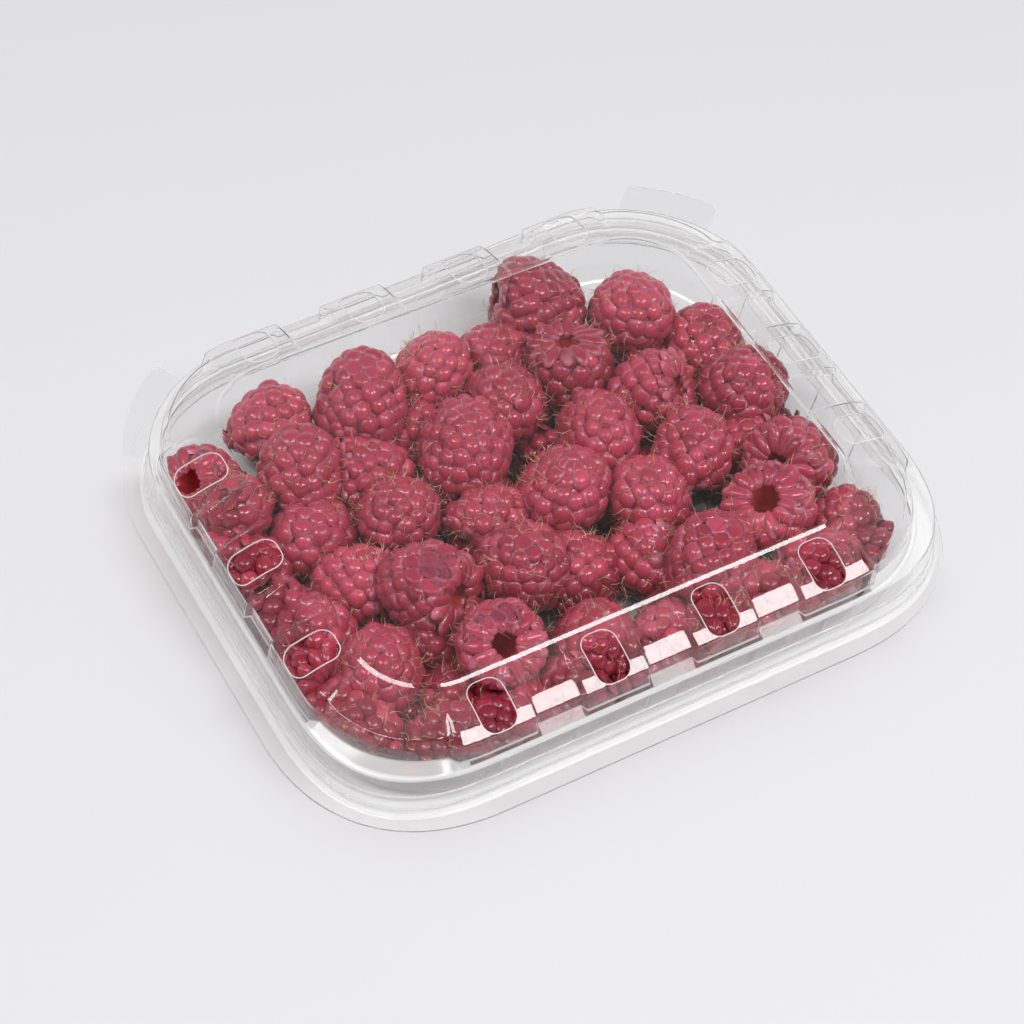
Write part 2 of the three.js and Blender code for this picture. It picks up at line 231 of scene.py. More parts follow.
def smooth_by_angle(piece, degrees):
    """Smooth shading with sharp edges from this angle on, in which the flats stay flat."""
    bpy.ops.object.select_all(action="DESELECT")
    piece.select_set(True)
    bpy.context.view_layer.objects.active = piece
    bpy.ops.object.shade_smooth_by_angle(angle=math.radians(degrees))
    apply_modifier(piece, "WEIGHTED_NORMAL", mode="FACE_AREA", weight=100, keep_sharp=True)
    piece.select_set(False)


def clear_plastic(name, ior, roughness, milk_and_painted_glow):
    """Clear sheet: it bends and reflects what the eye sees, and lets the studio's light through.
    milk_and_painted_glow is how far it is whitened: on the skirts partly their own haze and partly
    painted reflection of the bright room, on the bends a painted highlight."""
    material = bpy.data.materials.new(name)
    material.use_nodes = True
    nodes, links = material.node_tree.nodes, material.node_tree.links
    nodes.clear()
    output = nodes.new("ShaderNodeOutputMaterial")
    glass = nodes.new("ShaderNodeBsdfPrincipled")
    glass.inputs["Base Color"].default_value = (1, 1, 1, 1)
    glass.inputs["Roughness"].default_value = roughness
    glass.inputs["IOR"].default_value = ior
    glass.inputs["Transmission Weight"].default_value = 1 - milk_and_painted_glow
    through = nodes.new("ShaderNodeBsdfTransparent")
    through.inputs["Color"].default_value = (1, 1, 1, 1)
    path = nodes.new("ShaderNodeLightPath")
    either = nodes.new("ShaderNodeMath")
    either.operation = "MAXIMUM"
    mix = nodes.new("ShaderNodeMixShader")
    links.new(path.outputs["Is Shadow Ray"], either.inputs[0])
    links.new(path.outputs["Is Diffuse Ray"], either.inputs[1])
    links.new(either.outputs["Value"], mix.inputs["Fac"])
    links.new(glass.outputs["BSDF"], mix.inputs[1])
    links.new(through.outputs["BSDF"], mix.inputs[2])
    links.new(mix.outputs["Shader"], output.inputs["Surface"])
    return material


tray_plastic = clear_plastic("tray_plastic", 1.5, 0.07, 0)
# The skirts' slight white is partly their own haze and partly painted reflection of the bright
# room.
tray_skirt = clear_plastic("tray_skirt_plastic", 1.3, 0.01, 0.04)
# White bends and corner ledges: a painted highlight where the real sheet's bends catch the light.
painted_bend_highlight = clear_plastic("painted_bend_highlight", 1.4, 0.08, 0.3)
tray_places = stations(TRAY_RIBS_LONG, TRAY_RIBS_SHORT, lambda angle: 0.0)
tray_off = bent(TRAY_SECTION)
tray_on = tray_off.copy()
for point in tray_on:
    if point[0] < TRAY_WALL_OUT and TRAY_RIB_FOOT < point[1] < TRAY_RIB_HEAD:
        above_foot = smooth_step((point[1] - TRAY_RIB_FOOT) / TRAY_RIB_RAMP)
        below_head = smooth_step((TRAY_RIB_HEAD - point[1]) / TRAY_RIB_RAMP)
        point[0] -= TRAY_RIB_DEPTH * (above_foot * below_head)
tray = loft("tray_sheet", tray_places, tray_off, tray_on, tray_off,
            (tray_plastic, tray_skirt, painted_bend_highlight), TRAY_SKIRT_BEND, [])
tray.data.flip_normals()
finish_sheet(tray, TRAY_SHEET, 1)
smooth_by_angle(tray, TRAY_SHARP)
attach(tray, "root")
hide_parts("tray")

# ---- lid ----------------------------------------------------------------------------------------
# The real lid is a second drawn sheet: a flat panel, a shoulder that bulges out at each vent slot,
# a wall, a sloped ledge on the tray's rim and a beaded skirt that grips the tray, and a flange.

LID_SHEET = 0.3
LID_SKIRT_BEND = 7
LID_SHARP = 40
# The section at a vent, between two vents and at a corner, each from the panel to the ledge.
LID_PANEL = [(-2, 0, 0), (0, 0, 0.2), (0.9, -0.51, 0.2)]
LID_SKIRT = [
    (13.5, -8.5, 0.4), (14.2, -13, 0.3), (14, -14, 0.4), (14.7, -15.5, 0.4), (14.6, -17.2, 0.5),
    (15.3, -18.2, 0.5), (18.9, -18.4, 0),
]
LID_BULGE = LID_PANEL + [
    (6, -1.2, 1.5), (9.4, -2.3, 0.25), (11.9, -3.75, 0.3), (12.3, -5.6, 0.8), (12.4, -7.6, 0.3),
] + LID_SKIRT
LID_RECESS = LID_PANEL + [
    (5.6, -1.75, 1.5), (8.4, -3.05, 0.25), (11, -4.6, 0.3), (11.15, -5.4, 0.4), (11.2, -7.2, 0.3),
] + LID_SKIRT
LID_CORNER = LID_PANEL + [
    (5.6, -1.6, 1.5), (9.6, -3.15, 0.25), (10.9, -5, 0.3), (11.15, -6, 0.4), (11.2, -7.2, 0.3),
] + LID_SKIRT
LID_FLANGE = LID_SKIRT[-1][0]  # how far out the flange's edge lies, apart from the tabs
LID_BULGES_LONG = ([-35.7, -11.9, 11.9, 35.7], 6.5, 0.9)
LID_BULGES_SHORT = ([-23.6, 0, 23.6], 6.6, 0.9)
LONG_BULGE_INTO_CORNER = 14  # degrees that the last bulge of a side runs into the corner
SHORT_BULGE_INTO_CORNER = 12
CORNER_RAMP = 4  # degrees
VENT_WIDTH, VENT_LENGTH, VENT_RADIUS = 7, 10.2, 2.5
VENT_OUT, VENT_DROP, VENT_SLOPE = 6.85, 2.15, 20
VENT_CUT_DEPTH = 6
VENT_ROUND_STEPS = 8
VENT_EDGE = 0.13  # width of the white band round each vent: the punched edge's own frosting and a painted glint of the light it catches
WELD = 0.005
# Where the flange reaches further out: corner, angles from and to, and the reach at both.
FLANGE_TABS = [
    ((1, 1), 32, 61, 34.3, 34.3), ((-1, 1), 104, 148, 27, 19),
]
TAB_END = 2.5  # degrees in which a tab's end rounds off


def lid_corner_share(angle):
    """1 where the corner's shoulder bulges with the last vents, 0 between them."""
    from_long = smooth_step((angle - LONG_BULGE_INTO_CORNER) / CORNER_RAMP)
    from_short = smooth_step((90 - SHORT_BULGE_INTO_CORNER - angle) / CORNER_RAMP)
    return float(1 - from_long * from_short)


def tab_reach(place):
    """How far the flange reaches out at one station of the outline."""
    corner = np.sign(place[:2])
    arm = place[:2] - corner * (CORNER_X, CORNER_Y)
    angle = math.degrees(math.atan2(arm[1], arm[0]))
    reach = LID_FLANGE + place[SPREAD]
    for tab, start, end, first, last in FLANGE_TABS:
        if tuple(corner) == tab and start < angle < end:
            share = (angle - start) / (end - start)
            ends = min(1, (min(angle - start, end - angle) / TAB_END)) ** 0.5
            reach += (first + (last - first) * share - reach) * ends
    return reach


def vent_cutter(place, facing, offset, grow, material):
    """A block with rounded upright edges, laid square on the shoulder of one bulge."""
    slope = math.radians(VENT_SLOPE)
    out = Vector((math.cos(facing), math.sin(facing), 0))
    along = Vector((-math.sin(facing), math.cos(facing), 0))
    down = out * math.cos(slope) - Vector((0, 0, math.sin(slope)))
    bpy.ops.mesh.primitive_cube_add(size=1)
    cutter = bpy.context.object
    cutter.data.materials.append(material)
    width, length = VENT_WIDTH + 2 * grow, VENT_LENGTH + 2 * grow
    cutter.data.transform(Matrix.Diagonal((width * MM, length * MM, VENT_CUT_DEPTH * MM, 1)))
    bpy.ops.object.mode_set(mode="EDIT")
    bpy.ops.mesh.select_mode(type="EDGE")
    bpy.ops.mesh.select_all(action="DESELECT")
    bm = bmesh.from_edit_mesh(cutter.data)
    for edge in bm.edges:
        a, b = edge.verts
        if abs(a.co.z - b.co.z) > MM:
            edge.select_set(True)
    bmesh.update_edit_mesh(cutter.data)
    bpy.ops.mesh.bevel(offset=(VENT_RADIUS + grow) * MM, segments=VENT_ROUND_STEPS,
                       affect="EDGES")
    bpy.ops.object.mode_set(mode="OBJECT")
    turn = Matrix((along, down, along.cross(down))).transposed().to_4x4()
    edge = out * offset + along * place
    spread_here = spread(edge, out) * np.interp(VENT_OUT, SPREAD_AT, SPREAD_SHARE)
    middle = edge + out * (VENT_OUT + spread_here)
    middle.z = HEIGHT - VENT_DROP
    cutter.data.transform(Matrix.Translation(middle * MM) @ turn)
    return cutter


lid_plastic = clear_plastic("lid_plastic", 1.5, 0.015, 0)
# The lid's skirt is slightly white too: partly its own haze, partly painted reflection of the
# bright room.
lid_skirt = clear_plastic("lid_skirt_plastic", 1.33, 0.01, 0.04)
# Cut edges and the band round each vent are near white: partly the rough cut's frosting, partly a
# painted glint of the light the edge catches.
cut_edge_glint = bpy.data.materials.new("cut_edge_glint")
cut_edge_glint.use_nodes = True
cut_shader = cut_edge_glint.node_tree.nodes["Principled BSDF"]
cut_shader.inputs["Base Color"].default_value = (0.96, 0.94, 0.95, 1)
cut_shader.inputs["Roughness"].default_value = 0.4
cut_shader.inputs["Transmission Weight"].default_value = 0.2
seam = bpy.data.materials.new("seam")
lid_places = stations(LID_BULGES_LONG, LID_BULGES_SHORT, lid_corner_share)
reaches = np.array([tab_reach(place) for place in lid_places])
tabbed = np.flatnonzero(reaches > LID_FLANGE + lid_places[:, SPREAD] + 1)
lid = loft("lid_sheet", lid_places, bent(LID_RECESS), bent(LID_BULGE), bent(LID_CORNER),
           (lid_plastic, lid_skirt, painted_bend_highlight), LID_SKIRT_BEND, tabbed)
rim = len(lid.data.vertices) - len(lid_places)
for i, (place, out) in enumerate(zip(lid_places, reaches)):
    lid.data.vertices[rim + i].co.x = (place[X] + place[OUT_X] * out) * MM
    lid.data.vertices[rim + i].co.y = (place[Y] + place[OUT_Y] * out) * MM
finish_sheet(lid, LID_SHEET, 2)
lid.data.transform(Matrix.Translation((0, 0, -LID_SHEET / 2 * MM)))


def all_vent_cutters(grow, material):
    """One object with the cutters of every vent, all wider by the same distance."""
    cutters = []
    for facing in range(4):
        long_side = facing % 2 == 0
        for place in (LID_BULGES_LONG if long_side else LID_BULGES_SHORT)[0]:
            turn = math.radians(90 * facing - 90)
            offset = PANEL_Y if long_side else PANEL_X
            cutters.append(vent_cutter(place, turn, offset, grow, material))
    bpy.ops.object.select_all(action="DESELECT")
    for cutter in cutters:
        cutter.select_set(True)
    bpy.context.view_layer.objects.active = cutters[0]
    bpy.ops.object.join()
    return cutters[0]


def cut(piece, operation, cutter):
    """Cuts a piece with a closed shape, whose material the cut faces take."""
    apply_modifier(piece, "BOOLEAN", operation=operation, object=cutter, solver="EXACT",
                   material_mode="TRANSFER")


# The band round each vent is cut out of a copy of the sheet, and both are welded along the seam.
# The band takes the cut edge's near white, partly a painted glint.
bands = bpy.data.objects.new("vent_bands", lid.data.copy())
bpy.context.scene.collection.objects.link(bands)
wide_cutter = all_vent_cutters(VENT_EDGE, seam)
vent_shape = all_vent_cutters(0, cut_edge_glint)
cut(lid, "DIFFERENCE", wide_cutter)
cut(bands, "INTERSECT", wide_cutter)
cut(bands, "DIFFERENCE", vent_shape)
for piece in (lid, bands):
    shape = bmesh.new()
    shape.from_mesh(piece.data)
    names = [material.name for material in piece.data.materials]
    seam_faces = [face for face in shape.faces if names[face.material_index] == "seam"]
    bmesh.ops.delete(shape, geom=seam_faces, context="FACES")
    shape.to_mesh(piece.data)
    shape.free()
bands.data.materials.clear()
bands.data.materials.append(cut_edge_glint)
bands.data.polygons.foreach_set("material_index", [0] * len(bands.data.polygons))
bpy.ops.object.select_all(action="DESELECT")
lid.select_set(True)
bands.select_set(True)
bpy.context.view_layer.objects.active = lid
bpy.ops.object.join()
bpy.ops.object.mode_set(mode="EDIT")
bpy.ops.mesh.select_all(action="SELECT")
bpy.ops.mesh.remove_doubles(threshold=WELD * MM)
bpy.ops.object.mode_set(mode="OBJECT")
for spare in (wide_cutter, vent_shape):
    bpy.data.objects.remove(spare)
smooth_by_angle(lid, LID_SHARP)
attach(lid, "root")
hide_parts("lid")

# ---- raspberries --------------------------------------------------------------------------------
# Each berry is a hollow thimble of about a hundred plump drupelets round the hole that the stalk
# left. They lie loose in the tray, row by row, over a bed of berries that only shows in the gaps.

# x, y and z of the middle and the width, all in mm, then the heading and the rise of the stem end
# in degrees.
BERRY_ROWS = [
    [(-56, -38, 10.5, 16, 240, -25), (-43, -46, 10, 17, 200, -20), (-25, -46, 8.5, 15, 60, -45),
     (-8, -39, 12, 17, 60, -45), (5, -43, 8, 16, 30, -30), (14, -47, 13, 12, 90, -30),
     (28, -45, 12, 15, 120, -20), (41, -43, 11, 16, 180, -10), (52, -35, 9, 16, 220, -30)],
    [(-54, -13, 10, 17, 60, -50), (-47, -27, 12, 18, 60, -50), (-25, -33, 15, 18, 250, 55),
     (-34, -23, 8, 14, 150, 0), (-37, -34, 6, 14, 60, -45), (21, -34, 14, 19, 230, -40),
     (38, -28, 14, 19, 205, 65)],
    [(-41, -5, 10, 16, 320, 15), (-31, -15, 15, 18, 300, 20), (-12, -19, 15, 18, 60, -50),
     (0, -21, 9, 16, 170, 5), (12, -24, 9, 16, 320, 30), (19, -14, 13, 17, 60, -50),
     (33, -7, 13, 17, 240, -40), (50, -18, 12, 18, 200, 35)],
    [(-58, 6, 9, 17, 60, -45), (-43, 9, 9, 17, 60, -50), (-27, 4, 13, 17, 60, -45),
     (-11, -4, 11, 16, 200, -10), (5, -5, 13, 19, 60, -50), (19, 5, 12, 18, 70, -40),
     (45, -8, 8, 14, 0, 0), (52, 3, 12, 18, 60, -45)],
    [(-56, 29, 9, 17, 185, 55), (-55, 18, 16, 14, 60, -45), (-39, 22, 14, 17, 245, -40),
     (-26, 18, 10, 16, 160, 10), (-8, 12, 13, 20, 60, -15), (6, 20, 13, 17, 60, -45),
     (34, 10, 12, 17, 320, 35), (52, 18, 9, 17, 240, -35)],
    [(-38, 37, 11, 16, 205, -35), (-20, 33, 14, 19, 240, -30), (-3, 34, 13, 17, 60, -45),
     (11, 34, 11, 15, 200, 0), (22, 23, 12, 18, 95, 75), (25, 41, 12.5, 20, 150, 12),
     (41, 30, 13, 18, 60, -50), (-10, 26, 7, 15, 60, -45)],
]
BERRY_LENGTH = 1.08  # against the width
BERRY_OVAL = 0.06  # how far a berry may be from round
BERRY_SWELL = 0.045  # how far its lopsided swell reaches
# Half a section of the outside from the tip to the rim, in shares of half the width and length.
BERRY_OUTSIDE = [(0, -1), (0.36, -0.93), (0.62, -0.76), (0.82, -0.46), (0.93, -0.1), (0.97, 0.25),
                 (0.93, 0.58), (0.8, 0.8)]
BERRY_RIM = (0.6, 0.84)
BERRY_HOLLOW = [(0.46, 0.8), (0.36, 0.55), (0.3, 0.1), (0.2, -0.25), (0, -0.35)]
HOLLOW_RIDGE = 0.1  # how far the ridges of the hollow stand out, against its width
THIMBLE_SIDES = 20
INSET = 1.15  # how far inside the outline the drupelets' middles lie
OUTLINE_STEPS, OUTLINE_SOFTNESS = 200, 25
DRUPELET = 3.15  # spacing, in mm
PACKING = 0.866  # area of a drupelet against the square of the spacing
DRUPELET_SIZE = 0.69  # half the width against the spacing, so that neighbours run into each other
SMALLEST, LARGEST = 1.3, 2.8  # half the width of a drupelet
DRUPELET_HEIGHT = 0.8  # against half the width
DRUPELET_FULLNESS = 2.15  # 2 is a round dome, and more is a fuller one
DRUPELET_LONG = (0.9, 1.15)  # length against width, and the same for the rim's
RIM_LONG = (1.8, 2.2)
RIM_SPACING = 0.8  # against the drupelets' spacing
RIM_OVERLAP = 1.2
TILT = 0.09  # how far the drupelets lean off the surface, at random
TONE_SPREAD = 0.7
PALE_SHARE, PALE_TONE = 0.03, 3.5  # a few drupelets are much paler than the rest
ROOM = [  # distance out and height inside the shut punnet, clear of both sheets
    (7, -23.5), (8.3, -22.3), (9.2, -20), (10.1, -12.2), (10.3, -6.4), (9.9, -5.4), (8.5, -4.3),
    (5.6, -3), (3, -1.8), (0.3, -1.5), (-0.6, -1),
]


def past_panel(points):
    """How far points lie outside the panel's edge, and how far and which way from its inner box."""
    over = np.abs(points[:, :2]) - (CORNER_X, CORNER_Y)
    beyond = np.maximum(over, 0)
    reach = np.linalg.norm(beyond, axis=1)
    return reach + np.minimum(over.max(axis=1), 0) - PANEL_RADIUS, reach, beyond


def keep_in_room(points):
    """Presses points that would pass through the tray or the lid back inside, as soft fruit
    gives."""
    room = np.array(ROOM)
    height = np.clip(points[:, 2], HEIGHT + room[0, 1], HEIGHT + room[-1, 1])
    out, reach, beyond = past_panel(points)
    limit = np.interp(height - HEIGHT, room[:, 1], room[:, 0])
    push = np.maximum(out - limit, 0) * (reach > 0)
    way = beyond / np.maximum(reach, 1e-6)[:, None] * np.sign(points[:, :2])
    return np.column_stack([points[:, :2] - way * push[:, None], height])


def dome(sides, rings):
    """Vertices and faces of a drupelet's dome of half width 1 and height 1."""
    points = [(0, 0, 1)]
    faces = []
    for ring in range(1, rings + 1):
        angle = math.pi / 2 * ring / rings
        out = math.sin(angle) ** (2 / DRUPELET_FULLNESS)
        up = max(math.cos(angle), 0) ** (2 / DRUPELET_FULLNESS)
        start = len(points)
        for i in range(sides):
            turn = 2 * math.pi * (i + 0.5 * ring) / sides
            points.append((out * math.cos(turn), out * math.sin(turn), up))
            following = (i + 1) % sides
            if ring == 1:
                faces.append((0, 1 + i, 1 + following))
            else:
                above = start - sides
                faces.append((above + i, start + i, above + following))
                faces.append((above + following, start + i, start + following))
    return np.array(points), np.array(faces)


def lathe(section, sides):
    """Vertices and quads of a surface turned round Z from (out, up) points."""
    turns = np.arange(sides) * 2 * math.pi / sides
    points = np.array([
        (out * math.cos(t), out * math.sin(t), up) for out, up in section for t in turns
    ])
    faces = []
    for ring in range(len(section) - 1):
        for i in range(sides):
            following = (i + 1) % sides
            a, b = ring * sides + i, ring * sides + following
            faces.append((a, b, b + sides))
            faces.append((a, b + sides, a + sides))
    return points, np.array(faces)


def berry_outline(half, tall):
    """Distances along the outside from the tip to the rim, and how far out and up it is there."""
    outside = np.array(BERRY_OUTSIDE) * (half - INSET, tall - INSET)
    steps = np.linalg.norm(np.diff(outside, axis=0), axis=1)
    length = np.concatenate([[0], np.cumsum(steps)])
    along = np.linspace(0, length[-1], OUTLINE_STEPS)
    out = np.interp(along, length, outside[:, 0])
    up = np.interp(along, length, outside[:, 1])
    padded = np.pad(out, OUTLINE_SOFTNESS // 2, mode="reflect", reflect_type="odd")
    out = np.convolve(padded, np.ones(OUTLINE_SOFTNESS) / OUTLINE_SOFTNESS, "valid")
    return along, out, up


def berry_drupelets(along, line_out, line_up, random):
    """Middles, ways up and ways round of the drupelets, which lie in a spiral on the outside."""
    area = np.cumsum(line_out)
    area /= area[-1]
    count = int(2 * math.pi * line_out.mean() * along[-1] / (DRUPELET ** 2 * PACKING))
    order = (np.arange(count) + 0.5) / count
    place = np.interp(order, area, along) + random.normal(0, 0.13, count)
    turn = np.arange(count) * math.pi * (3 - math.sqrt(5)) + random.normal(0, 0.05, count)
    out = np.abs(np.interp(place, along, line_out))
    up = np.interp(place, along, line_up)
    ahead = np.interp(place + 0.1, along, line_out) - np.interp(place - 0.1, along, line_out)
    climb = np.interp(place + 0.1, along, line_up) - np.interp(place - 0.1, along, line_up)
    steep = np.arctan2(climb, ahead)
    around = np.column_stack([np.cos(turn), np.sin(turn), np.zeros(count)])
    axis = np.array([0, 0, 1.0])
    normal = around * np.sin(steep)[:, None] - axis * np.cos(steep)[:, None]
    return around * out[:, None] + axis * up[:, None], normal, around


def rim_drupelets(rim_out, rim_up, random):
    """The same for the rim: drupelets that run from the outside over the edge into the hollow."""
    count = int(round(2 * math.pi * rim_out / (DRUPELET * RIM_SPACING)))
    turn = (np.arange(count) + random.normal(0, 0.1, count)) * 2 * math.pi / count
    around = np.column_stack([np.cos(turn), np.sin(turn), np.zeros(count)])
    lean = random.normal(0.1, 0.12, count)[:, None]
    axis = np.array([0, 0, 1.0])
    normal = axis + around * lean
    normal /= np.linalg.norm(normal, axis=1)[:, None]
    return around * rim_out + axis * rim_up, normal, around


def thimble(half, tall, line_out, line_up, rim_out, rim_up):
    """Vertices and triangles of the body under the drupelets with its hollow, and which vertices
    are the hollow's."""
    wall = [tuple(p) for p in np.column_stack([line_out, line_up])[::12]]
    wall += [(rim_out, rim_up + 0.2)]
    wall += [(a * half, b * tall) for a, b in BERRY_HOLLOW]
    body, faces = lathe(wall, THIMBLE_SIDES)
    rings = len(BERRY_HOLLOW)
    inside = slice(-THIMBLE_SIDES * rings, -THIMBLE_SIDES)
    ridges = np.tile([1, -1], THIMBLE_SIDES // 2 * (rings - 1))
    body[inside, :2] *= 1 + HOLLOW_RIDGE * ridges[:, None]
    hollow = np.repeat(np.arange(len(wall)) >= len(wall) - rings, THIMBLE_SIDES)
    return body, faces, hollow


def berry(x, y, z, width, heading, rise, random, sides, rings):
    """Vertices, triangles, tone and crown of one berry, and the feet of its styles."""
    half, tall = width / 2, width * BERRY_LENGTH / 2
    oval = 1 + random.uniform(-BERRY_OVAL, BERRY_OVAL)
    along, line_out, line_up = berry_outline(half, tall)
    centres, normal, around = berry_drupelets(along, line_out, line_up, random)
    count = len(centres)
    rim_out, rim_up = BERRY_RIM[0] * half, BERRY_RIM[1] * tall - INSET
    rim_centres, rim_normal, rim_around = rim_drupelets(rim_out, rim_up, random)
    rim_count = len(rim_centres)
    centres = np.concatenate([centres, rim_centres])
    normal = np.concatenate([normal, rim_normal])
    around = np.concatenate([around, rim_around])
    long_way = np.concatenate([np.ones(count), random.uniform(*RIM_LONG, rim_count)])
    gap = np.linalg.norm(centres[:, None] - centres[None], axis=2)
    nearest = np.sort(gap, axis=1)[:, 1:5].mean(axis=1)
    size = np.clip(nearest * DRUPELET_SIZE, SMALLEST, LARGEST)
    size = size * random.uniform(0.93, 1.07, len(centres))
    size[count:] = math.pi * rim_out / rim_count * RIM_OVERLAP
    normal = normal + random.normal(0, TILT, normal.shape)
    normal /= np.linalg.norm(normal, axis=1)[:, None]
    centres = centres + normal * random.normal(0, 0.12, len(centres))[:, None]
    long_way[:count] = random.uniform(*DRUPELET_LONG, count)
    side = np.cross(normal, around)
    side /= np.maximum(np.linalg.norm(side, axis=1), 1e-6)[:, None]
    forward = np.cross(side, normal)
    unit, unit_faces = dome(sides, rings)
    high = size * DRUPELET_HEIGHT * random.uniform(0.88, 1.12, len(size))
    scale = np.column_stack([size * long_way, size, high])
    local = unit[None] * scale[:, None]
    frames = np.stack([forward, side, normal], axis=1)
    drupelets = centres[:, None] + np.einsum("nvk,nkj->nvj", local, frames)
    total = len(centres)
    starts = np.arange(total)[:, None, None] * len(unit)
    faces = [(unit_faces[None] + starts).reshape(-1, 3)]
    shade = random.normal(0, TONE_SPREAD, total) + PALE_TONE * (random.random(total) < PALE_SHARE)
    # Closeness to the fold against the next drupelet: 0 on the fold, 1 on the crown.
    apart = np.linalg.norm(drupelets[:, :, None] - centres[None, None], axis=3)
    own = apart[np.arange(total), :, np.arange(total)]
    apart[np.arange(total), :, np.arange(total)] = 1e9
    crown = [np.clip((apart.min(axis=2) - own) / DRUPELET, 0, 1).reshape(-1)]
    body, body_faces, hollow = thimble(half, tall, line_out, line_up, rim_out, rim_up)
    faces.append(body_faces + total * len(unit))
    crown.append(np.where(hollow, -1.0, 0.0))
    tone = [np.repeat(shade, len(unit)), np.zeros(len(body))]
    points = np.concatenate([drupelets.reshape(-1, 3), body])
    points[:, 0] *= oval
    points[:, 1] /= oval
    # One lopsided swell makes no two berries alike.
    swell = random.normal(0, 1, 3)
    points *= (1 + BERRY_SWELL * np.sin(points @ (swell / half) + random.uniform(0, 6)))[:, None]
    heading, rise = math.radians(heading), math.radians(rise)
    level = math.cos(rise)
    stem = Vector((math.cos(heading) * level, math.sin(heading) * level, math.sin(rise)))
    turn = stem.to_track_quat("Z", "Y") @ Quaternion((0, 0, 1), random.uniform(0, 6.28))
    turn = np.array(turn.to_matrix())
    points = keep_in_room(points @ turn.T + (x, y, z))
    feet = (centres @ turn.T + (x, y, z), normal @ turn.T, size)
    return points, np.concatenate(faces), np.concatenate(tone), np.concatenate(crown), feet


def berry_skin(name):
    """Ripe skin: deep red, moist and slightly see-through, with pale down and a painted glow in the
    folds, and painted shade in its tone.
    """
    material = bpy.data.materials.new(name)
    material.use_nodes = True
    nodes, links = material.node_tree.nodes, material.node_tree.links
    skin = nodes["Principled BSDF"]
    tone = nodes.new("ShaderNodeAttribute")
    tone.attribute_name = "tone"
    crown = nodes.new("ShaderNodeAttribute")
    crown.attribute_name = "crown"
    # Drupelets differ a little from dark to light at random; the ramp's dark end carries the shade
    # painted low down and at the wall.
    tone_ramp = nodes.new("ShaderNodeValToRGB")
    tone_ramp.color_ramp.elements[0].color = (0.12, 0.007, 0.019, 1)
    tone_ramp.color_ramp.elements[1].color = (0.585, 0.068, 0.128, 1)
    tone_ramp.color_ramp.elements.new(0.52).color = (0.30, 0.014, 0.037, 1)
    tone_place = nodes.new("ShaderNodeMapRange")
    tone_place.inputs["From Min"].default_value = -7
    tone_place.inputs["From Max"].default_value = 2.2
    links.new(tone.outputs["Fac"], tone_place.inputs["Value"])
    links.new(tone_place.outputs["Result"], tone_ramp.inputs["Fac"])
    # A pale down lies along the folds between drupelets, partly a painted glow of light shining
    # through the thin skin there; it fades where shade is painted.
    fold_down_and_glow = nodes.new("ShaderNodeMapRange")
    fold_down_and_glow.interpolation_type = "SMOOTHSTEP"
    fold_down_and_glow.inputs["From Min"].default_value = 0.14
    fold_down_and_glow.inputs["From Max"].default_value = 0.02
    fold_down_and_glow.inputs["To Max"].default_value = 0.34
    links.new(crown.outputs["Fac"], fold_down_and_glow.inputs["Value"])
    with_down_and_glow = nodes.new("ShaderNodeMix")
    with_down_and_glow.data_type = "RGBA"
    with_down_and_glow.inputs["B"].default_value = (0.72, 0.28, 0.38, 1)
    links.new(fold_down_and_glow.outputs["Result"], with_down_and_glow.inputs["Factor"])
    links.new(tone_ramp.outputs["Color"], with_down_and_glow.inputs["A"])
    # The hollow's wall is paler and duller than the outside.
    hollow = nodes.new("ShaderNodeMapRange")
    hollow.inputs["From Min"].default_value = -0.2
    hollow.inputs["From Max"].default_value = -0.9
    links.new(crown.outputs["Fac"], hollow.inputs["Value"])
    hollowed = nodes.new("ShaderNodeMix")
    hollowed.data_type = "RGBA"
    hollowed.inputs["B"].default_value = (0.62, 0.07, 0.07, 1)
    links.new(hollow.outputs["Result"], hollowed.inputs["Factor"])
    links.new(with_down_and_glow.outputs["Result"], hollowed.inputs["A"])
    links.new(hollowed.outputs["Result"], skin.inputs["Base Color"])
    grain = nodes.new("ShaderNodeTexNoise")
    grain.inputs["Scale"].default_value = 900
    grain.inputs["Detail"].default_value = 2
    place = nodes.new("ShaderNodeTexCoord")
    bump = nodes.new("ShaderNodeBump")
    bump.inputs["Strength"].default_value = 0.4
    bump.inputs["Distance"].default_value = 0.0002
    links.new(place.outputs["Object"], grain.inputs["Vector"])
    links.new(grain.outputs["Fac"], bump.inputs["Height"])
    links.new(bump.outputs["Normal"], skin.inputs["Normal"])
    skin.inputs["Coat Weight"].default_value = 0.8
    skin.inputs["Specular IOR Level"].default_value = 0.15
    skin.inputs["Coat Roughness"].default_value = 0.08
    skin.inputs["Coat IOR"].default_value = 1.55
    skin.inputs["Roughness"].default_value = 0.35
    skin.inputs["Subsurface Weight"].default_value = 0.65
    skin.inputs["Subsurface Radius"].default_value = (1.0, 0.22, 0.2)
    skin.inputs["Subsurface Scale"].default_value = 0.0018
    skin.inputs["Sheen Weight"].default_value = 0.12
    skin.inputs["Sheen Roughness"].default_value = 0.4
    skin.inputs["Sheen Tint"].default_value = (1, 0.76, 0.80, 1)
    return material


LOW_PAINTED_SHADE, WALL_PAINTED_SHADE = 6, 3.4  # painted shade: how much the tone sinks towards the floor and the wall, where shade falls
BERRY_TONE_SPREAD = 0.8
DOWN_LOST_IN_SHADE = 0.05  # how fast the pale folds fade where shade is painted into the tone
skin = berry_skin("raspberry_skin")
style_feet = []


